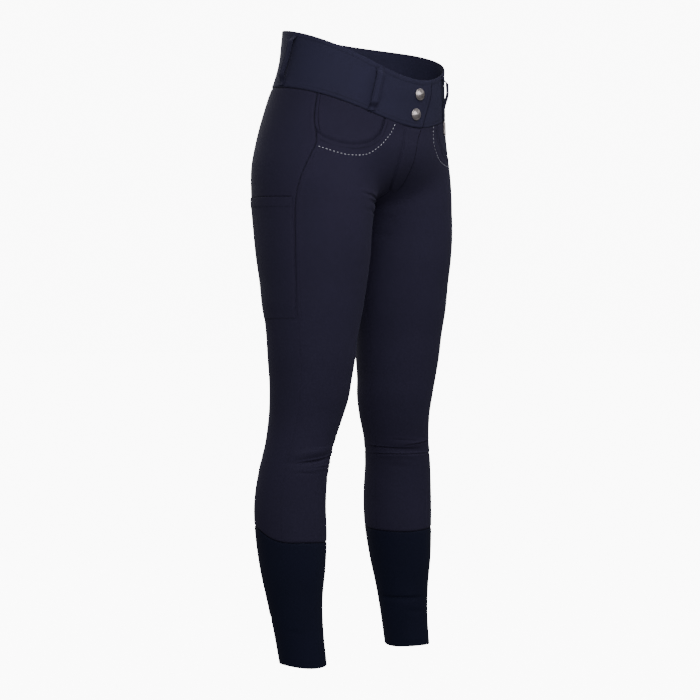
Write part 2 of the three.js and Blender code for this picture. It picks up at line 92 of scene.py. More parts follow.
# Finer creases: side, angle and height of one end, of the other end, sag of the middle, half width, depth
CREASES = [
    (1, 148, -589, 4, -568, -1.0, 1.1, -1.9), (1, 124, -586, 10, -577, 0.5, 1.1, -1.3),
    (1, 108, -595, 20, -588, -0.5, 1.1, -1.1), (1, 140, -601, 92, -604, 1.0, 2.0, -0.6),
    (1, 84, -560, 40, -566, 1.0, 4.0, -0.6), (1, 64, -612, 22, -606, 0.0, 4.0, -0.5),
    (-1, -40, -570, 92, -575, -1.0, 1.1, -1.7), (-1, 50, -571, 140, -560, 0.0, 1.1, -1.4),
    (-1, -34, -585, 130, -584, 0.5, 1.1, -1.4), (-1, 30, -560, 90, -562, 0.0, 1.6, -0.6),
    (-1, 96, -590, 140, -582, 0.0, 3.5, -0.8), (-1, 20, -603, 66, -606, 1.0, 4.0, -0.6),
    (1, 228, -566, 300, -560, -3.0, 4.5, -1.6), (1, 222, -584, 314, -580, -2.0, 4.0, -1.9),
    (1, 236, -598, 322, -600, 1.0, 4.5, -1.4), (1, 252, -614, 300, -618, 2.0, 5.0, -0.9),
    (-1, 226, -562, 306, -568, -3.0, 4.5, -1.7), (-1, 232, -581, 318, -578, -1.0, 4.0, -1.9),
    (-1, 224, -602, 298, -597, 1.5, 4.5, -1.3), (-1, 250, -620, 306, -612, 1.0, 5.0, -0.8),
    (1, 56, -834, -24, -832, 0.5, 3.2, -0.8), (-1, -30, -820, 104, -818, 0.5, 1.8, -1.1),
    (-1, 40, -838, 110, -842, -0.5, 3.6, -0.7), (1, 210, -826, 300, -832, 0.0, 3.6, -1.0),
    (-1, 215, -832, 310, -826, 0.0, 3.6, -1.0), (1, 120, -846, 170, -842, 0.0, 4.0, -0.5),
    (1, 20, -184, 98, -176, 1.0, 2.2, -2.0), (1, 18, -196, 92, -189, 1.0, 2.2, -2.2),
    (1, 14, -207, 96, -203, 1.0, 2.2, -1.8), (1, 6, -232, 60, -240, 1.0, 5.5, -0.7),
    (-1, 8, -212, 50, -205, 2.0, 5.0, -0.9), (-1, 6, -230, 46, -238, 1.0, 5.5, -0.7),
    (1, 318, -212, 352, -216, 3.0, 6.0, -1.2), (-1, 316, -214, 353, -215, 3.0, 6.0, -1.2),
    (1, 300, -236, 350, -230, 2.0, 6.0, -0.8), (-1, 304, -232, 350, -234, 2.0, 6.0, -0.8),
    (1, 74, -283, 100, -290, -2.0, 5.0, -0.35),
]
SIDE_SEAM = table("z angle", [
    (-720, 150), (-560, 148), (-421, 149), (-390, 151), (-340, 154), (-251, 153.5), (-184, 151.5),
    (-163, 148), (-141, 142), (-118, 135), (-103, 131), (-86, 132.5), (-70, 136), (-31, 139), (0, 140),
])
SCOOP = table("step angle z", [
    (0.0, 50, -64), (0.12, 52.5, -76), (0.25, 57.5, -89), (0.38, 67, -99), (0.52, 81, -104.6),
    (0.66, 95, -106), (0.8, 110, -103.4), (0.91, 123, -96.5), (1.0, 132.4, -87.5),
])
SCOOP_TURNS_BACK = 6.0
SCOOP_START = 0.42
FACING_DEPTH = 16.0
FACING_SET_IN = 2.4
TUCKED = 3.0
CUFF_SEAM = table("angle z", [
    (0, -709), (60, -710), (110, -707), (150, -706), (172, -701), (200, -690), (235, -686), (280, -696),
    (330, -707), (360, -709),
])
LAP_EDGE = table("z angle", [(-73, -14), (-52, -21), (-25, -30), (6, -35)])
UNDER_EDGE = 8.0
LAP_FADE = (12.0, 40.0)
FLY = table("z edge stitch", [
    (-148, -10, 3), (-141, -10, 17), (-130, -6, 24), (-119, -4, 26), (-98, -4, 23), (-76, -12, 19),
])
POCKET_HEM = 15.0
THIGH_POCKET = {"front": 155.0, "back": 236.0, "bottom": -367.0, "top_front": -185.0, "top_back": -178.0}
BAND_SPLIT = 195.0
LOOP_WIDTH, LOOP_STAND, LOOP_ENDS, LOOP_CLOTH = 12.0, 6.4, 2.0, 2.2
# Belt loops: side, angle at the bottom and at the top end, and where along it the loop leaves the band and
# stands clear of it
LOOPS = [
    ("belt_loop_front_right", 1, 71, 65, 0.06, 0.19), ("belt_loop_front_left", -1, 78, 76, 0.24, 0.64),
    ("belt_loop_side_right", 1, 199, 191, 0.06, 0.19), ("belt_loop_side_left", -1, 199, 191, 0.06, 0.19),
    ("belt_loop_centre_back", 1, 360, 360, 0.06, 0.19),
]
# Pale stitches round each front pocket's mouth
DASHES = {
    1: table("step angle z", [
        (0, 33.8, -69), (1, 40.5, -84), (2, 48.8, -96), (3, 60.8, -106.8), (4, 75, -115.8), (5, 90, -119.4),
        (6, 103.5, -119.4), (7, 118.5, -114), (8, 130.5, -108.6),
    ]),
    -1: table("step angle z", [
        (0, 44.2, -64), (1, 44, -78), (2, 45, -94), (3, 50, -102.1), (4, 61.5, -110.4), (5, 72, -114.7),
        (6, 82, -117.6), (7, 95, -118.9), (8, 108, -117.3), (9, 120, -113.1), (10, 130, -108.6),
    ]),
}
# Press studs: angle and height
SNAPS = {"snap_upper": (-5.0, -22.0), "snap_lower": (0.0, -53.0)}
CAP_RADIUS = 9.0
CAP_LEAN = 6.0
CAP_PROUD = CLOTH + 2 * SEAM_GAP + 0.8
# A cap's rim: inset or, where negative, outset, and then rise. Its dome: inset after each rise
RIM = [(-0.6, 0.5), (0.0, 0.7), (0.5, 0.4), (0.6, 0.0), (0.5, -0.35), (0.5, 0.0)]
DOME = [(0.15, 1.2), (0.5, 1.0), (1.2, 0.7), (2.0, 0.4), (2.4, 0.15)]
PLATE = {"angle": 83.0, "middle": -62.6, "width": 11.0, "height": 20.0, "cloth": 1.8}


# Form of the garment

def mix(a, b, t):
    return a + (b - a) * t


def ease(t):
    t = np.clip(t, 0.0, 1.0)
    return t * t * (3 - 2 * t)


def along(tab, column, value):
    """Smooth curve through a table's rows, read by its first column."""
    at, to = next(iter(tab.values())), tab[column]
    value = np.clip(value, at[0], at[-1])
    slope = np.diff(to) / np.diff(at)
    tangent = np.concatenate([slope[:1], (slope[:-1] + slope[1:]) / 2, slope[-1:]])
    i = np.clip(np.searchsorted(at, value, side="left") - 1, 0, len(at) - 2)
    span = at[i + 1] - at[i]
    s = (value - at[i]) / span
    start = to[i] * (1 + 2 * s) * (1 - s) ** 2 + tangent[i] * span * s * (1 - s) ** 2
    end = to[i + 1] * s * s * (3 - 2 * s) + tangent[i + 1] * span * s * s * (s - 1)
    return start + end


def leg_ring(angle, z):
    wide, deep = along(LEG, "wide", z), along(LEG, "deep", z)
    r = 1 / np.hypot(np.cos(angle) / wide, np.sin(angle) / deep)
    return -along(LEG, "x", z) + r * np.cos(angle), along(LEG, "y", z) - r * np.sin(angle)


def hip_ring(angle, z):
    half = angle / 2
    deep = np.where(np.cos(half) > 0, along(HIP, "front", z), along(HIP, "back", z))
    a = np.abs(np.cos(half) / deep) ** HIP_POWER
    b = np.abs(np.sin(half) / along(HIP, "wide", z)) ** HIP_POWER
    r = (a + b) ** (-1 / HIP_POWER)
    return -r * np.sin(half), along(HIP, "y", z) - r * np.cos(half)


def open_ring(angle, z):
    """Leg ring whose inner side runs out to the centre plane."""
    turn = np.minimum(angle, 2 * np.pi - angle)
    sign = np.where(angle > np.pi, -1.0, 1.0)
    step = 0.001
    x0, y0 = leg_ring(angle, z)
    x1, y1 = leg_ring(sign * INNER_SPAN, z)
    x2, y2 = leg_ring(sign * (INNER_SPAN + step), z)
    tx, ty = (x2 - x1) / step * INNER_SPAN, (y2 - y1) / step * INNER_SPAN
    s = np.clip(turn / INNER_SPAN, 0, 1)
    leave, reach, arrive = s * (1 - s) ** 2, s * s * (3 - 2 * s), s * s * (s - 1)
    x = leave * INNER_PULL + reach * x1 + arrive * tx
    y = (1 - reach) * along(LEG, "y", z) + reach * y1 + arrive * ty
    inside = turn < INNER_SPAN
    return np.where(inside, x, x0), np.where(inside, y, y0)


def fold_depth(side, degrees, z):
    depth = np.zeros(np.broadcast(side, degrees, z).shape)
    for leg, angle, height, rise, reach, half, deep in FOLDS:
        away = (degrees - angle + 540) % 360 - 180
        run = 1 - ease(np.abs(away) / reach)
        off = 1 - ease(np.abs(z - height - rise * away) / half)
        depth += np.where(side == leg, deep * run * off, 0)
    return depth


def surface(side, degrees, level):
    """Points of the outer surface. Above the crotch an angle past the centre lies on the other half."""
    degrees, level = np.broadcast_arrays(np.asarray(degrees, float), np.asarray(level, float))
    high = level > CROTCH
    below, past = degrees < 0, degrees > 360
    side = np.where(high & (below | past), -side, side)
    degrees = np.where(below, np.where(high, -degrees, degrees + 360), degrees)
    degrees = np.where(past, np.where(high, 720 - degrees, degrees - 360), degrees)
    angle = np.radians(degrees)
    middle = ((1 + np.cos(angle)) / 2) ** 2
    # Leg
    x, y = leg_ring(angle, np.minimum(level, LEG_TOP))
    fold = fold_depth(side, degrees, level)
    x, y, z = x + fold * np.cos(angle), y - fold * np.sin(angle), level.copy()
    # Arch between the legs
    rise = np.clip((level - LEG_TOP) / ARCH, 0, 1)
    turn = rise * np.pi / 2
    za = LEG_TOP + ARCH * mix(rise, np.sin(turn), middle)
    x0, y0 = leg_ring(angle, za)
    x1, y1 = open_ring(angle, za)
    arch = (level > LEG_TOP) & (level <= CROTCH)
    x = np.where(arch, mix(x0, x1, 1 - np.cos(turn)), x)
    y = np.where(arch, mix(y0, y1, 1 - np.cos(turn)), y)
    z = np.where(arch, za, z)
    # From the crotch up to the hip line
    rise = np.clip((level - CROTCH) / (HIP_LINE - CROTCH), 0, 1)
    turn = rise * np.pi / 2
    zb = CROTCH + (HIP_LINE - CROTCH) * mix(rise, 1 - np.cos(turn), middle)
    blend = mix(ease(rise), np.sin(turn), middle)
    x0, y0 = open_ring(angle, np.full_like(level, CROTCH))
    x1, y1 = hip_ring(angle, zb)
    seat = high & (level <= HIP_LINE)
    x = np.where(seat, mix(x0, x1, blend), x)
    y = np.where(seat, mix(y0, y1, blend), y)
    z = np.where(seat, zb, z)
    # Hips and waist
    xh, yh = hip_ring(angle, level)
    top = level > HIP_LINE
    x, y = np.where(top, xh, x), np.where(top, yh, y)
    return np.stack([x * side, y, z], axis=-1)


def outward(side, degrees, level):
    around = surface(side, degrees + 0.4, level) - surface(side, degrees - 0.4, level)
    up = surface(side, degrees, level + 0.4) - surface(side, degrees, level - 0.4)
    normal = np.cross(up, around) * side
    return normal / np.linalg.norm(normal, axis=-1, keepdims=True)


def degree_length(side, degrees, level):
    step = surface(side, degrees + 0.5, level) - surface(side, degrees - 0.5, level)
    return np.linalg.norm(step, axis=-1)


def band_low(degrees):
    a = np.radians(np.asarray(degrees, float) / 2)
    return -25 - 35.5 * np.cos(a) - 9.5 * np.cos(2 * a) - 3 * np.cos(3 * a)


def band_top(degrees):
    a = np.radians(np.asarray(degrees, float) / 2)
    return 57 - 44.5 * np.cos(a) - 11 * np.cos(2 * a) - 1.5 * np.cos(3 * a)


def side_seam(z):
    return along(SIDE_SEAM, "angle", z)


def cuff_seam(angle):
    return along(CUFF_SEAM, "z", angle % 360)


def front_angle(side, angle):
    turned = SCOOP_TURNS_BACK * np.clip((132 - angle) / 100, 0, 1)
    return angle + (turned if side < 0 else 0)


def pocket_start(side):
    """Angle where the front pocket's scoop leaves the waistband."""
    return front_angle(side, SCOOP["angle"][0])


def pocket_mouth(angle):
    """Height of the thigh pocket's upper edge."""
    p = THIGH_POCKET
    return mix(p["top_front"], p["top_back"], (angle - p["front"]) / (p["back"] - p["front"]))


def lap_lift(angle):
    """How far the band's right front lies out over its left one."""
    return (CLOTH + SEAM_GAP) * (1 - ease((angle - LAP_FADE[0]) / (LAP_FADE[1] - LAP_FADE[0])))


def no_lift(angle):
    return 0 * angle


def creased(side, degrees, z):
    """How far the fine creases and the slow unevenness of worn cloth move a point outward."""
    lift = 0.22 * np.sin(z / 31 + 0.9 * side + degrees / 47) * np.sin(degrees / 23 + z / 83)
    lift = lift + 0.14 * np.sin(z / 17 - degrees / 15 + 2 * side) * np.sin(degrees / 37 - 1.3)
    lift = lift * ease((-60 - z) / 60)
    for leg, a0, z0, a1, z1, sag, half, deep in CREASES:
        t = ((degrees - a0 + 540) % 360 - 180) / (a1 - a0)
        middle = mix(z0, z1, t) + 4 * sag * t * (1 - t)
        off = (z - middle) / half
        run = ease(t / 0.3) * ease((1 - t) / 0.35)
        shape = deep * np.exp(-off ** 2) - 0.5 * deep * np.exp(-(off - 2.1) ** 2 / 1.6)
        lift = lift + np.where(side == leg, run * shape, 0)
    return lift


# Cloth meshes

def spread(length, pitch, fine_low=True, fine_high=True):
    """Places from 0 to 1 along a length, one pitch apart and closer together at the sewn ends."""
    near = [0, 0.5, 1.1, 1.9, 2.9, 4.2]
    low = near if fine_low else [0]
    high = near if fine_high else [0]
    count = max(2, int(round((length - low[-1] - high[-1]) / pitch)))
    middle = np.linspace(low[-1], length - high[-1], count + 1)
    places = np.concatenate([low[:-1], middle, [length - x for x in reversed(high[:-1])]])
    return places / length


def run_length(points, axis):
    """Distance along the rows or columns of a grid of points, from its first one."""
    steps = np.linalg.norm(np.diff(points, axis=axis), axis=-1)
    zero = np.zeros_like(np.take(steps, [0], axis=axis))
    return np.concatenate([zero, np.cumsum(steps, axis=axis)], axis=axis)


def distances(points):
    """Distance of every grid point from the four edges of its piece."""
    across, up = run_length(points, 1), run_length(points, 0)
    return {"left": across, "right": across[:, -1:] - across, "low": up, "high": up[-1:] - up}


def new_object(name, verts, faces, uvs=None, shade=None):
    mesh = bpy.data.meshes.new(name)
    mesh.from_pydata([tuple(v) for v in np.asarray(verts) * MM], [], faces)
    # Painted shade of each point, which darkens the cloth's colour
    if shade is not None:
        mesh.attributes.new("seam", "FLOAT", "POINT").data.foreach_set("value", shade)
    if uvs is not None:
        layer = mesh.uv_layers.new(name="cloth")
        index = np.empty(len(mesh.loops), int)
        mesh.loops.foreach_get("vertex_index", index)
        layer.data.foreach_set("uv", np.asarray(uvs)[index].ravel())
    mesh.shade_smooth()
    piece = bpy.data.objects.new(name, mesh)
    bpy.context.scene.collection.objects.link(piece)
    return piece


def apply(piece, kind, **settings):
    """Adds a modifier to a piece and applies it."""
    modifier = piece.modifiers.new(kind.title(), kind)
    for key, value in settings.items():
        setattr(modifier, key, value)
    bpy.ops.object.select_all(action="DESELECT")
    bpy.context.view_layer.objects.active = piece
    piece.select_set(True)
    bpy.ops.object.modifier_apply(modifier=modifier.name)
    piece.select_set(False)


def set_back(grid, closed):
    """The grid's points with its ends, and its sides where it isn't closed, a hair back from the seams."""
    moved = grid.copy()
    for at, to in ((0, 1), (-1, -2)):
        step = grid[to] - grid[at]
        moved[at] += step / np.linalg.norm(step, axis=-1, keepdims=True) * SET_BACK
        if not closed:
            step = grid[:, to] - grid[:, at]
            moved[:, at] += step / np.linalg.norm(step, axis=-1, keepdims=True) * SET_BACK
    return moved


def shell_faces(rows, columns, closed):
    """Faces of the outer wall, the inner wall and the edges between them."""
    total = rows * columns
    index = np.arange(total).reshape(rows, columns)
    if closed:
        index = np.concatenate([index, index[:, :1]], axis=1)
    a, b, c, d = index[:-1, :-1], index[:-1, 1:], index[1:, 1:], index[1:, :-1]
    quads = [np.stack([a, d, c, b], -1).reshape(-1, 4), total + np.stack([a, b, c, d], -1).reshape(-1, 4)]
    low, high = index[0], index[-1]
    quads.append(np.stack([total + low[:-1], low[:-1], low[1:], total + low[1:]], -1))
    quads.append(np.stack([high[:-1], total + high[:-1], total + high[1:], high[1:]], -1))
    if not closed:
        left, right = index[:, 0], index[:, -1]
        quads.append(np.stack([left[:-1], total + left[:-1], total + left[1:], left[1:]], -1))
        quads.append(np.stack([total + right[:-1], right[:-1], right[1:], total + right[1:]], -1))
    return np.concatenate(quads)


def shell(
        name, side, angle, z, lift=0.0, cloth=CLOTH, relief=None, sewn=(), dip=1.0, closed=False, soft=0.4,
        shade=None):
    """A sewn piece of cloth as a thin closed shell over a grid of angles and heights. Sewn edges are drawn
    into their seam; the others stay proud, with a rounded edge."""
    angle, z = np.broadcast_arrays(np.asarray(angle, float), np.asarray(z, float))
    points, normal = surface(side, angle, z), outward(side, angle, z)
    far = distances(points)
    lift = lift + creased(side, angle, z)
    if relief is not None:
        lift = lift + relief(angle, z, far)
    # Painted shade: darker colour wherever the piece's shade function puts shade
    dark = 0 * z if shade is None else shade(angle, z, far)
    for edge in sewn:
        seen = 0.12 + 0.88 * ease((z + 345) / 110) if edge in ("left", "right") and not closed else 1
        down = seen * dip
        lift = lift - down * (1 - ease(far[edge] / 3.2)) - 0.5 * down * (1 - ease(far[edge] / 1.0))
        # Painted shade in the crevice along each sewn edge, fainter low on the legs
        dark = np.maximum(dark, 0.35 * seen * np.exp(-(far[edge] / 1.1) ** 2))
    outer = points + normal * lift[..., None]
    inner = points + normal * (lift - cloth)[..., None]
    rows, columns = z.shape
    faces = shell_faces(rows, columns, closed)
    if side < 0:
        faces = faces[:, ::-1]
    across = far["left"] - far["left"][:, columns // 2][:, None]
    uv = np.stack([across, z], axis=-1).reshape(-1, 2)
    verts = np.concatenate([set_back(grid, closed).reshape(-1, 3) for grid in (outer, inner)])
    dark = np.tile(dark.ravel(), 2)
    piece = new_object(SEWN + name, verts, faces.tolist(), np.concatenate([uv, uv]), dark)
    edge = math.radians(50)
    apply(piece, "BEVEL", limit_method="ANGLE", angle_limit=edge, width=soft * MM, segments=2)
    piece.data.shade_smooth()
    return piece


def strip(far, wide=6.5, height=0.45):
    """A seam's topstitched strip, a raised fold of cloth with a stitched groove at its edge."""
    raised = height * ease(far / 1.6) * (1 - ease((far - wide + 0.6) / 1.2))
    return raised - 0.25 * np.exp(-((far - wide) / 0.7) ** 2)


# Rows of a leg panel up to the arch, with more round the knee, and from there up to the shoulder line
KNEE_ROWS = np.linspace(0.18, 0.31, 80)
LEG_ROWS = np.sort(np.concatenate([spread(LEG_LENGTH, 3.0, True, False), KNEE_ROWS]))
RISE_ROWS = np.arange(LEG_TOP + 2.4, SHOULDER + 0.1, 2.4)


def front_top(side, s):
    """Upper edge of the front panel: along the waistband, then round the pocket's scoop."""
    start = pocket_start(side)
    step = np.clip((s - SCOOP_START) / (1 - SCOOP_START), 0, 1)
    angle = front_angle(side, along(SCOOP, "angle", step))
    z = along(SCOOP, "z", step) + (band_low(start) - SCOOP["z"][0]) * np.clip(1 - step * 4, 0, 1)
    flat = s / SCOOP_START * start
    on_band = s <= SCOOP_START
    return np.where(on_band, flat, angle), np.where(on_band, band_low(flat), z)


def leg_rows(span_low, span_high):
    """Angles and heights of a leg panel up to the shoulder line. The spans give its sides' angles."""
    s = spread(190, 3.0)
    grid = []
    for t in LEG_ROWS:
        base = mix(span_low(np.full_like(s, -400.0)), span_high(np.full_like(s, -400.0)), s)
        grid.append(mix(cuff_seam(base), LEG_TOP, t))
    grid += [np.full_like(s, z) for z in RISE_ROWS]
    z = np.array(grid)
    return s, mix(span_low(z), span_high(z), s), z


def front_panel(side):
    s, angle, z = leg_rows(lambda z: 0 * z, side_seam)
    top_angle, top_z = front_top(side, s)
    for rise in spread(26, 2.2, False, True)[1:]:
        zr = mix(SHOULDER, top_z, rise)
        plain = mix(s * side_seam(SHOULDER), top_angle, rise)
        edge = mix(side_seam(SHOULDER), top_angle[-1], rise)
        row = plain + s ** 5 * (side_seam(zr[-1]) - edge)
        angle, z = np.vstack([angle, row]), np.vstack([z, zr])

    def relief(angle, z, far):
        felled = strip(far["right"]) * ease((z + 372) / 8) * ease((-84 - z) / 6)
        mouth = 0.35 * (1 - ease((far["high"] - 5.5) / 1.5)) * (angle > pocket_start(side) - 4)
        return felled + mouth

    name = "front_right" if side > 0 else "front_left"
    return shell(name, side, angle, z, relief=relief, sewn=("left", "right", "low"))


def back_panel(side):
    s, angle, z = leg_rows(side_seam, lambda z: 360 + 0 * z)
    top = band_low(mix(side_seam(-25.0), 360.0, s))
    for rise in spread(90, 2.6, False, True)[1:]:
        zr = mix(SHOULDER, top, rise)
        angle = np.vstack([angle, mix(side_seam(np.maximum(zr, SHOULDER)), 360.0, s)])
        z = np.vstack([z, zr])

    name = "back_right" if side > 0 else "back_left"
    return shell(name, side, angle, z, sewn=("left", "right", "low", "high"))


def pocket_facing(side):
    r, s = np.meshgrid(spread(60, 1.8, False, True), spread(130, 2.0, False, True), indexing="ij")
    top_angle, top_z = front_top(side, mix(SCOOP_START + 1e-6, 1, s))
    forward = top_angle - FACING_DEPTH * 0.5 * (1 - s)
    low = np.maximum(top_z - FACING_DEPTH, SHOULDER + 3)
    high = band_low(mix(forward, side_seam(-30.0), s ** 6)) + TUCKED
    z = mix(low, high, r)
    angle = mix(forward, side_seam(z) - 0.3, s ** 6)
    start = pocket_start(side)
    rim_angle, rim_z = front_top(side, np.linspace(SCOOP_START, 1, 160))
    rim = surface(side, rim_angle, rim_z)

    def relief(angle, z, far):
        points = surface(side, angle, z)
        gap = np.linalg.norm(points[..., None, :] - rim, axis=-1).min(-1)
        shown = (angle > start) & (z > np.interp(angle, rim_angle, rim_z))
        rise = np.where(shown, (FACING_SET_IN - 0.1) * ease((gap - 0.8) / 4.5), 0)
        under = (rise + 0.5) * (1 - ease((far["high"] - TUCKED + 0.6) / 1.6))
        return rise + strip(far["right"]) * shown * ease((gap - 3) / 6) - under

    name = "pocket_facing_right" if side > 0 else "pocket_facing_left"
    return shell(name, side, angle, z, -FACING_SET_IN, POCKET_CLOTH, relief, sewn=("right",), soft=0.3)


def band_relief(ends=()):
    """Turned and topstitched edges of the doubled band."""
    def relief(angle, z, far):
        lift = 0.25 + 0 * z
        for edge in ("low", "high", *ends):
            lift = lift + strip(far[edge], 7.5, 0.4)
        return lift
    return relief


def band_piece(name, side, start, end, lift, ends=()):
    r, s = np.meshgrid(spread(72, 1.7), spread(230, 2.4), indexing="ij")

    def level(angle):
        return mix(band_low(angle), band_top(angle), r)

    # Painted shade: dark lines by the topstitched grooves along the band's lower and upper edges
    def shade(angle, z, far):
        low_line = 0.3 * np.exp(-((far["low"] - 6.2) / 0.7) ** 2)
        return low_line + 0.16 * np.exp(-((far["high"] - 6.6) / 0.6) ** 2)

    angle = mix(start(level(start(np.full_like(r, -70.0)))), end, s)
    return shell(
        name, side, angle, level(angle), lift(angle), relief=band_relief(ends), sewn=("low",), dip=0.7,
        shade=shade)


def waistband():
    """Front right, front left and back of the band. Each start gives its first edge's angle by height."""
    def over(z):
        return along(LAP_EDGE, "angle", z)

    def under(z):
        return 0 * z - UNDER_EDGE

    def behind(z):
        return 0 * z + BAND_SPLIT

    right = band_piece("waistband_front_right", 1, over, BAND_SPLIT, lap_lift, ("left",))
    left = band_piece("waistband_front_left", -1, under, BAND_SPLIT, no_lift)
    back = band_piece("waistband_back", 1, behind, 720 - BAND_SPLIT, no_lift)
    return right, left, back


def fly_placket():
    r, s = np.meshgrid(spread(74, 1.8), spread(34, 1.6), indexing="ij")
    rough = mix(FLY["z"][0], band_low(0) - 1, r)
    angle = mix(along(FLY, "edge", rough), along(FLY, "stitch", rough), s)
    z = mix(FLY["z"][0], band_low(angle) - 1.2, r)

    def relief(angle, z, far):
        down = 1 - ease(far["right"] / 9)
        return -1.5 * down - 0.6 * (1 - ease(far["low"] / 8)) - 0.7 * (1 - ease(far["high"] / 5))

    return shell("fly_placket", 1, angle, z, LAID_ON + POCKET_CLOTH, POCKET_CLOTH, relief, soft=0.35)


def thigh_pocket():
    p = THIGH_POCKET
    r, s = np.meshgrid(spread(182, 2.4), spread(130, 2.4), indexing="ij")
    z = mix(p["bottom"], mix(p["top_front"], p["top_back"], s), r)
    edge = np.maximum(p["front"], side_seam(z) + 1)
    angle = mix(edge, p["back"], s)

    def relief(angle, z, far):
        hem = strip(far["high"], POCKET_HEM, 0.35)
        flat = np.maximum(1 - ease(far["low"] / 26), 1 - ease(far["right"] / 14))
        return hem - 1.1 * flat - 0.4 * (1 - ease(far["left"] / 5)) * (1 - flat)

    return shell("thigh_pocket_right", 1, angle, z, LAID_ON + POCKET_CLOTH, POCKET_CLOTH, relief, soft=0.35)


def cuff(side):
    r = spread(195, 2.0)[:, None]
    angle = np.linspace(0, 360, 112, endpoint=False)[None, :] + 0 * r
    z = mix(HEM + 1.4 * np.sin(np.radians(2 * angle + 70 * side)), cuff_seam(angle) - SEAM_GAP, r)
    name = "cuff_right" if side > 0 else "cuff_left"
    return shell(name, side, angle, z, sewn=("high",), closed=True, dip=0.9)


def belt_loop(name, side, low, high, leave, clear):
    r, s = np.meshgrid(spread(66, 1.6), spread(LOOP_WIDTH, 1.2, False, False), indexing="ij")
    middle = mix(low, high, r)
    z = mix(band_low(middle) + LOOP_ENDS, band_top(middle) - LOOP_ENDS, r)
    half = LOOP_WIDTH / 2 / degree_length(side, middle, z)
    stand = ease((r - leave) / (clear - leave)) * ease((0.94 - r) / 0.13)
    lift = LAID_ON + CLOTH + LOOP_STAND * stand

    def relief(angle, z, far):
        edge = np.minimum(far["left"], far["right"])
        return 0.4 - 0.35 * np.exp(-((edge - 2.0) / 0.7) ** 2)

    # Painted shade along the loop's edges and beside its stitched grooves
    def shade(angle, z, far):
        edge = np.minimum(far["left"], far["right"])
        return 0.3 * np.exp(-(edge / 0.8) ** 2) + 0.3 * np.exp(-((edge - 2.2) / 0.6) ** 2)

    angle = middle + mix(-half, half, s)
    return shell(name, side, angle, z, lift, LOOP_CLOTH, relief, soft=0.55, shade=shade)


made = [*waistband(), fly_placket(), thigh_pocket()]
made += [make(side) for make in (front_panel, back_panel, pocket_facing, cuff) for side in (1, -1)]
made += [belt_loop(*loop) for loop in LOOPS]
cloth_pieces = {piece.name.removeprefix(SEWN): piece for piece in made}


# Sewing

def stitch_form():
    """One stitch of thread along X, a unit long, wide and high, as points and faces."""
    bpy.ops.mesh.primitive_uv_sphere_add(segments=6, ring_count=5, radius=0.5)
    piece = bpy.context.object
    points = np.array([v.co[:] for v in piece.data.vertices])
    faces = [list(f.vertices) for f in piece.data.polygons]
    bpy.data.objects.remove(piece)
    return points[:, [2, 0, 1]], faces


STITCH_POINTS, STITCH_FACES = stitch_form()


def sew(name, lines, pitch, length, width, height):
    """Stitches along lines of points on the cloth. Each line is (points, normals), in millimetres."""
    verts, faces = [], []
    for points, normals in lines:
        run = np.concatenate([[0], np.cumsum(np.linalg.norm(np.diff(points, axis=0), axis=1))])
        count = int(run[-1] // pitch)
        for k in range(count):
            ends = (run[-1] - count * pitch) / 2 + k * pitch + (pitch - length) / 2 + np.array([0, length])
            a, b = (np.array([np.interp(e, run, points[:, i]) for i in range(3)]) for e in ends)
            n = np.array([np.interp(ends.mean(), run, normals[:, i]) for i in range(3)])
            x = (b - a) / np.linalg.norm(b - a)
            y = np.cross(n, x)
            y /= np.linalg.norm(y)
            n = np.cross(x, y)
            local = STITCH_POINTS * (length, width, height) @ np.array([x, y, n])
            start = len(verts)
            verts += list((a + b) / 2 + local)
            faces += [[start + i for i in f] for f in STITCH_FACES]
    return new_object(name, np.array(verts), faces)


def line(side, angle, z, lift):
    """A sewing line on the garment's surface, at a lift above it."""
    angle, z = np.broadcast_arrays(np.asarray(angle, float), np.asarray(z, float))
    normal = outward(side, angle, z)
    lift = lift + creased(side, angle, z)
    return surface(side, angle, z) + normal * lift[:, None], normal


def beside(side, angle, z, shift, lift):
    """A sewing line moved sideways along the cloth by a shift in millimetres."""
    return line(side, angle + shift / degree_length(side, angle, z), z, lift)


def dashes(side):
    """The line of the pale stitches round a front pocket's mouth."""
    curve = DASHES[side]
    steps = np.linspace(0, curve["step"][-1], 300)
    return line(side, along(curve, "angle", steps), along(curve, "z", steps), 0.25)


def scoop_line(side, inset):
    s = np.linspace(SCOOP_START + 0.01, 0.995, 200)
    angle, z = front_top(side, s)
    points = surface(side, angle, z)
    tangent = np.gradient(points, axis=0)
    down = np.cross(outward(side, angle, z), tangent) * side
    down /= np.linalg.norm(down, axis=1)[:, None]
    normal = outward(side, angle, z)
    return points + down * inset + normal * 0.3, normal


def band_lines(side, start, end, lift):
    angle = np.linspace(start, end, 300)
    low = line(side, angle, band_low(angle) + 7.5, lift(angle) + 0.12)
    high = line(side, angle, band_top(angle) - 7.5, lift(angle) + 0.12)
    return [low, high]


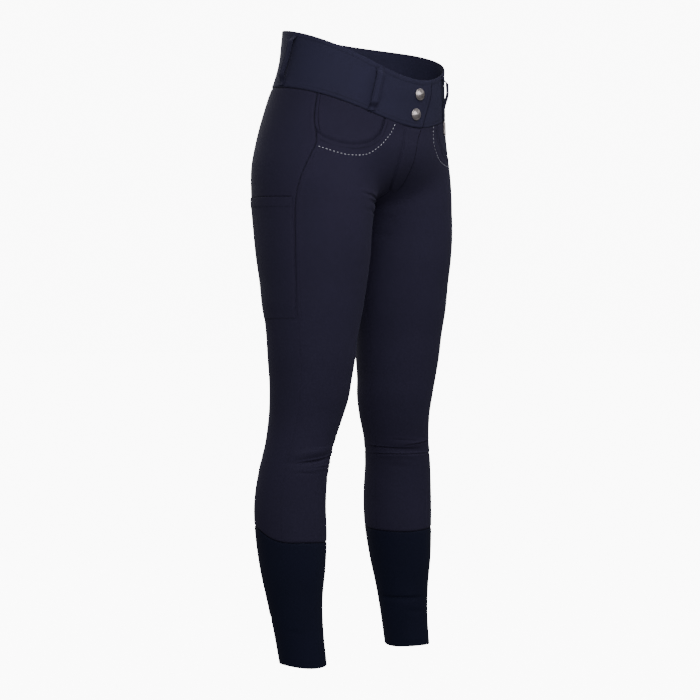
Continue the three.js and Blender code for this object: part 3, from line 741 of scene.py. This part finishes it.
def stitching_lines():
    """Lines of the navy topstitching, by the name of the piece that holds them."""
    lap = np.linspace(-63, -7, 60)
    fly = np.linspace(-147, -75, 120)
    fly_angle, fly_degree = along(FLY, "stitch", fly), degree_length(1, 0 * fly, fly)
    hem = np.linspace(THIGH_POCKET["front"] + 1, THIGH_POCKET["back"] - 1, 120)
    felled = np.linspace(-366, -88, 300)
    return {
        "stitching_band": [
            *band_lines(1, -22, BAND_SPLIT, lap_lift), *band_lines(-1, 9, BAND_SPLIT, no_lift),
            *band_lines(1, BAND_SPLIT, 720 - BAND_SPLIT, no_lift),
        ],
        "stitching_lap": [
            beside(1, along(LAP_EDGE, "angle", lap), lap, 7.5, CLOTH + SEAM_GAP + 0.3),
            line(1, fly_angle - 1.2 / fly_degree, fly, LAID_ON + 0.1),
            line(1, fly_angle - 4.0 / fly_degree, fly, LAID_ON + 0.8),
            line(1, hem, pocket_mouth(hem) - POCKET_HEM, LAID_ON + POCKET_CLOTH + 0.2),
        ],
        "stitching_right": [scoop_line(1, 5.0), beside(1, side_seam(felled), felled, -6.5, 0.1)],
        "stitching_left": [scoop_line(-1, 5.0), beside(-1, side_seam(felled), felled, -6.5, 0.1)],
    }


def shadow_lines():
    """Painted shadow: dark lines where an edge lies close on other cloth: the lap, the fly, the pocket and
    the side seams.
    """
    fly = np.linspace(FLY["z"][0] + 1, -75, 120)
    lap = np.linspace(-71.5, 0.5, 90)
    above = np.linspace(-86, -22, 80)
    mouth = np.linspace(THIGH_POCKET["front"] + 1, THIGH_POCKET["back"], 120)
    fly_edge = along(FLY, "edge", fly)
    return {
        "edge_lines_middle": [
            beside(1, along(LAP_EDGE, "angle", lap), lap, -2.9, 0.75),
            beside(1, fly_edge, fly, -2.3, 0.15), beside(1, fly_edge, fly, -1.4, 0.15),
        ],
        "edge_lines_right": [
            line(1, mouth, pocket_mouth(mouth) + 0.9, 0.3),
            beside(1, side_seam(above), above, -6.6, 0.1),
        ],
        "edge_lines_left": [beside(-1, side_seam(above), above, -6.6, 0.1)],
    }


# Pitch, length, width and height of each kind of stitch
decorative = [
    sew("pocket_dashes_right", [dashes(1)], 5.8, 3.0, 1.15, 0.8),
    sew("pocket_dashes_left", [dashes(-1)], 5.8, 3.0, 0.75, 0.5),
]
sewing = [sew(name, lines, 3.2, 2.5, 0.55, 0.45) for name, lines in stitching_lines().items()]
# Painted shadow: the dark lines are sewn as overlapping dark stitches
shadows = [sew(name, lines, 2.2, 2.3, 0.75, 0.35) for name, lines in shadow_lines().items()]


# Press studs and plate

def stand_on(piece, side, angle, z, lift, lean):
    """Turns a piece made round Z so that it stands on the garment, and puts its place in its mesh. It leans
    a few degrees to the wearer's right."""
    normal = Vector(outward(side, np.array(angle), np.array(z)))
    point = Vector(surface(side, np.array(angle), np.array(z)))
    turn = normal.to_track_quat("Z", "Y").to_matrix().to_4x4()
    leaned = Matrix.Rotation(math.radians(-lean), 4, "Z")
    piece.data.transform(Matrix.Translation((point + normal * lift) * MM) @ leaned @ turn)


def snap_cap(name, angle, z):
    """Cap of a press stud: a rolled rim round a low dome."""
    bpy.ops.mesh.primitive_circle_add(vertices=48, radius=CAP_RADIUS * MM, fill_type="NGON")
    piece = bpy.context.object
    piece.name = piece.data.name = "satin_" + name
    bpy.ops.object.mode_set(mode="EDIT")
    bpy.ops.mesh.select_mode(type="FACE")
    bpy.ops.mesh.select_all(action="SELECT")
    for inset, rise in RIM:
        if inset:
            bpy.ops.mesh.inset(thickness=abs(inset) * MM, use_outset=inset < 0)
        if rise:
            bpy.ops.mesh.extrude_region_move(TRANSFORM_OT_translate={"value": (0, 0, rise * MM)})
    for inset, rise in DOME:
        bpy.ops.mesh.extrude_region_move(TRANSFORM_OT_translate={"value": (0, 0, rise * MM)})
        bpy.ops.mesh.inset(thickness=inset * MM)
    bpy.ops.mesh.select_all(action="SELECT")
    bpy.ops.mesh.remove_doubles(threshold=0.01 * MM)
    bpy.ops.mesh.normals_make_consistent(inside=False)
    bpy.ops.object.mode_set(mode="OBJECT")
    piece.data.shade_smooth()
    stand_on(piece, 1, angle, z, CAP_PROUD, CAP_LEAN)
    piece.select_set(False)
    return piece


def hip_plate():
    """Small plain metal plate sewn to the band's lower edge at the left hip."""
    p = PLATE
    half = p["width"] / 2 / float(degree_length(-1, np.array(p["angle"]), np.array(p["middle"])))
    r, s = np.meshgrid(np.linspace(0, 1, 9), np.linspace(0, 1, 7), indexing="ij")
    angle = p["angle"] + mix(-half, half, s)
    z = p["middle"] + mix(-p["height"] / 2, p["height"] / 2, r)
    return shell("hip_plate", -1, angle, z, SEAM_GAP + p["cloth"], p["cloth"], soft=0.3)


metal = {name: snap_cap(name, *place) for name, place in SNAPS.items()}
metal["hip_plate"] = hip_plate()


# Materials

class Value:
    """A socket whose sums and products add Math nodes."""

    def __init__(self, nodes, socket):
        self.nodes, self.socket = nodes, socket

    def _math(self, operation, a, b=0.0):
        return self.nodes.add("Math", {"operation": operation}, [a, b])

    def __add__(self, other):
        return self._math("ADD", self, other)

    def __radd__(self, other):
        return self._math("ADD", other, self)

    def __sub__(self, other):
        return self._math("SUBTRACT", self, other)

    def __rsub__(self, other):
        return self._math("SUBTRACT", other, self)

    def __mul__(self, other):
        return self._math("MULTIPLY", self, other)

    def __rmul__(self, other):
        return self._math("MULTIPLY", other, self)

    def sine(self):
        return self._math("SINE", self)


class Nodes:
    """Node tree of one material."""

    def __init__(self, name):
        self.material = bpy.data.materials.new(name)
        self.material.use_nodes = True
        self.tree = self.material.node_tree
        self.shader = self.tree.nodes["Principled BSDF"]

    def add(self, kind, settings=None, inputs=None, output=0):
        """Adds a node: its settings first, then the values or links of its sockets."""
        node = self.tree.nodes.new("ShaderNode" + kind)
        for key, value in (settings or {}).items():
            setattr(node, key, value)
        items = inputs.items() if isinstance(inputs, dict) else enumerate(inputs or [])
        for key, value in items:
            self.join(value, node.inputs[key])
        return Value(self, node.outputs[output])

    def join(self, value, socket):
        if isinstance(value, Value):
            self.tree.links.new(value.socket, socket)
        else:
            socket.default_value = value

    def set(self, **sockets):
        """Sets or links the shader's own sockets, with spaces written as underscores."""
        for name, value in sockets.items():
            self.join(value, self.shader.inputs[name.replace("_", " ")])


def colour(r, g, b):
    """A colour given as it looks on screen, 0 to 255, as linear light."""
    def linear(c):
        c /= 255
        return c / 12.92 if c <= 0.04045 else ((c + 0.055) / 1.055) ** 2.4
    return linear(r), linear(g), linear(b), 1.0


DIAGONAL = 0.7071
# Colour towards which painted shade darkens the cloth
SEAM_SHADE = colour(6, 6, 11)


def cloth_material(name, base, lighter, rough, sheen, weave, depth):
    """Fine twill: diagonal ridges of the weave, a slow unevenness of the dye, and a soft sheen."""
    n = Nodes(name)
    place = n.add("UVMap", {"uv_map": "cloth"})
    parts = n.tree.nodes.new("ShaderNodeSeparateXYZ")
    n.join(place, parts.inputs[0])
    u, v = Value(n, parts.outputs[0]), Value(n, parts.outputs[1])
    turn = 2 * math.pi / weave * DIAGONAL
    ridge = ((u + v) * turn).sine()
    across = ((u - v) * (turn * 1.6)).sine()
    threads = ridge * 0.35 + across * 0.15 + 0.5
    spot = n.add("TexCoord", output=3)
    slow = n.add("TexNoise", inputs={"Vector": spot, "Scale": 14.0, "Detail": 3.0, "Roughness": 0.5})
    speck = n.add("TexNoise", inputs={"Vector": spot, "Scale": 900.0, "Detail": 2.0, "Roughness": 0.6})
    shade = threads * 0.25 + slow * 0.5 + speck * 0.35 - 0.05
    tint = n.add("Mix", {"data_type": "RGBA"}, {"Factor": shade, 6: colour(*base), 7: colour(*lighter)}, 2)
    bump = n.add("Bump", {}, {"Height": threads + speck * 0.3, "Strength": 0.5, "Distance": depth * MM})
    # Painted shade: the colour is darkened towards SEAM_SHADE by each point's painted shade
    seam = n.add("Attribute", {"attribute_name": "seam"}, output=2)
    deep = n.add("Mix", {"data_type": "RGBA"}, {"Factor": seam, 6: tint, 7: SEAM_SHADE}, 2)
    n.set(Base_Color=deep, Roughness=rough + slow * 0.08 - 0.04, Normal=bump)
    n.set(Specular_IOR_Level=0.12, Sheen_Weight=sheen, Sheen_Roughness=0.4, Sheen_Tint=colour(190, 190, 235))
    return n.material


def thread_material(name, base, lighter, rough, shine):
    n = Nodes(name)
    spot = n.add("TexCoord", output=3)
    ply = n.add("TexNoise", inputs={"Vector": spot, "Scale": 1400.0, "Detail": 2.0})
    tint = n.add("Mix", {"data_type": "RGBA"}, {"Factor": ply, 6: colour(*base), 7: colour(*lighter)}, 2)
    bump = n.add("Bump", {}, {"Height": ply, "Strength": 0.4, "Distance": 0.1 * MM})
    n.set(Base_Color=tint, Roughness=rough, Normal=bump, Specular_IOR_Level=shine)
    return n.material


def metal_material():
    n = Nodes("satin_metal")
    spot = n.add("TexCoord", output=3)
    grain = n.add("TexNoise", inputs={"Vector": spot, "Scale": 700.0, "Detail": 3.0})
    dull, bright = colour(140, 134, 136), colour(184, 176, 176)
    tint = n.add("Mix", {"data_type": "RGBA"}, {"Factor": grain, 6: dull, 7: bright}, 2)
    bump = n.add("Bump", {}, {"Height": grain, "Strength": 0.25, "Distance": 0.08 * MM})
    n.set(Base_Color=tint, Metallic=1.0, Roughness=0.3 + grain * 0.16, Normal=bump)
    return n.material


leg_cloth = cloth_material("navy_leg_cloth", (32, 29, 46), (44, 41, 62), 0.85, 0.03, 1.1, 0.12)
band_cloth = cloth_material("navy_band_cloth", (34, 33, 51), (46, 45, 68), 0.85, 0.03, 1.1, 0.12)
cuff_knit = cloth_material("dark_cuff_knit", (13, 16, 31), (22, 24, 46), 0.85, 0.02, 0.8, 0.08)
tonal_thread = thread_material("navy_thread", (20, 20, 32), (32, 32, 46), 0.85, 0.1)
# Dark colour of the painted shadow lines
dark_thread = thread_material("dark_thread", (6, 6, 12), (12, 12, 20), 0.95, 0.02)
pale_thread = thread_material("pale_thread", (172, 172, 186), (205, 205, 216), 0.7, 0.3)
satin = metal_material()


# Dressing: each piece rides on the body and stands for its solid

# Slot and material of each cloth piece, by the first word of its name
CLOTHS = {
    "waistband": ("band_cloth", band_cloth), "belt": ("band_cloth", band_cloth),
    "cuff": ("cuff_knit", cuff_knit),
}

for name, piece in cloth_pieces.items():
    slot, material = CLOTHS.get(name.split("_")[0], ("leg_cloth", leg_cloth))
    piece.data.materials.append(material)
    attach(piece, "root")
    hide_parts(name)
for pieces, thread in ((sewing, tonal_thread), (shadows, dark_thread), (decorative, pale_thread)):
    for piece in pieces:
        piece.data.materials.append(thread)
        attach(piece, "root")
for name, piece in metal.items():
    piece.data.materials.append(satin)
    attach(piece, "root")
    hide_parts(name)


# Camera, light and floor

VIEW_AZIMUTH, VIEW_DISTANCE, VIEW_HEIGHT = math.radians(46), 2.5, -0.415
WHITE, PALE = (1, 1, 1, 1), (0.6, 0.6, 0.6, 1)
ROOM_LIGHT, SEEN_LIGHT = 0.3, 10
# Lights: azimuth, distance, height, size, power
LIGHTS = {
    "key": (34, 1.5, 0.95, 1.2, 7.4),
    "left": (-45, 1.6, 1.1, 1.3, 4.4),
    "camera": (42, 1.6, 0.1, 0.8, 4.0),
    "back": (195, 2.2, 0.8, 1.6, 12.0),
}
camera = bpy.data.objects.new("camera", bpy.data.cameras.new("camera"))
bpy.context.scene.collection.objects.link(camera)
camera.data.lens, camera.data.sensor_width = 80.45, 36
camera.location = (
    -math.sin(VIEW_AZIMUTH) * VIEW_DISTANCE, -math.cos(VIEW_AZIMUTH) * VIEW_DISTANCE, VIEW_HEIGHT)
camera.rotation_euler = (math.pi / 2, 0, -VIEW_AZIMUTH)
bpy.context.scene.camera = camera


def softbox(name, azimuth, distance, height, size, power):
    """A square light that looks at the hips. Azimuth 0 is in front, positive to the wearer's right."""
    lamp = bpy.data.lights.new(name, "AREA")
    lamp.size, lamp.energy, lamp.spread = size, power, math.radians(120)
    holder = bpy.data.objects.new(name, lamp)
    bpy.context.scene.collection.objects.link(holder)
    a = math.radians(azimuth)
    holder.location = (-math.sin(a) * distance, -math.cos(a) * distance, height)
    aim = Vector((0, 0, -0.1)) - holder.location
    holder.rotation_euler = aim.to_track_quat("-Z", "Y").to_euler()


def studio():
    """Even light all round, with a brighter white where the camera sees past the garment."""
    world = bpy.data.worlds.new("studio")
    bpy.context.scene.world = world
    world.use_nodes = True
    tree = world.node_tree
    room = tree.nodes["Background"]
    camera_ray = tree.nodes.new("ShaderNodeLightPath")
    seen = tree.nodes.new("ShaderNodeBackground")
    blend = tree.nodes.new("ShaderNodeMixShader")
    for node, strength in ((room, ROOM_LIGHT), (seen, SEEN_LIGHT)):
        node.inputs["Color"].default_value = WHITE
        node.inputs["Strength"].default_value = strength
    tree.links.new(camera_ray.outputs["Is Camera Ray"], blend.inputs[0])
    tree.links.new(room.outputs[0], blend.inputs[1])
    tree.links.new(seen.outputs[0], blend.inputs[2])
    tree.links.new(blend.outputs[0], tree.nodes["World Output"].inputs[0])


def pale_floor():
    bpy.ops.mesh.primitive_plane_add(size=400, location=(0, 0, -0.97))
    floor = bpy.context.object
    floor.name = "floor"
    floor.visible_diffuse = False
    floor.visible_glossy = False
    pale = Nodes("pale_floor")
    pale.set(Base_Color=PALE, Roughness=1.0, Emission_Color=WHITE, Emission_Strength=SEEN_LIGHT)
    floor.data.materials.append(pale.material)


for name, place in LIGHTS.items():
    softbox(name, *place)
studio()
pale_floor()
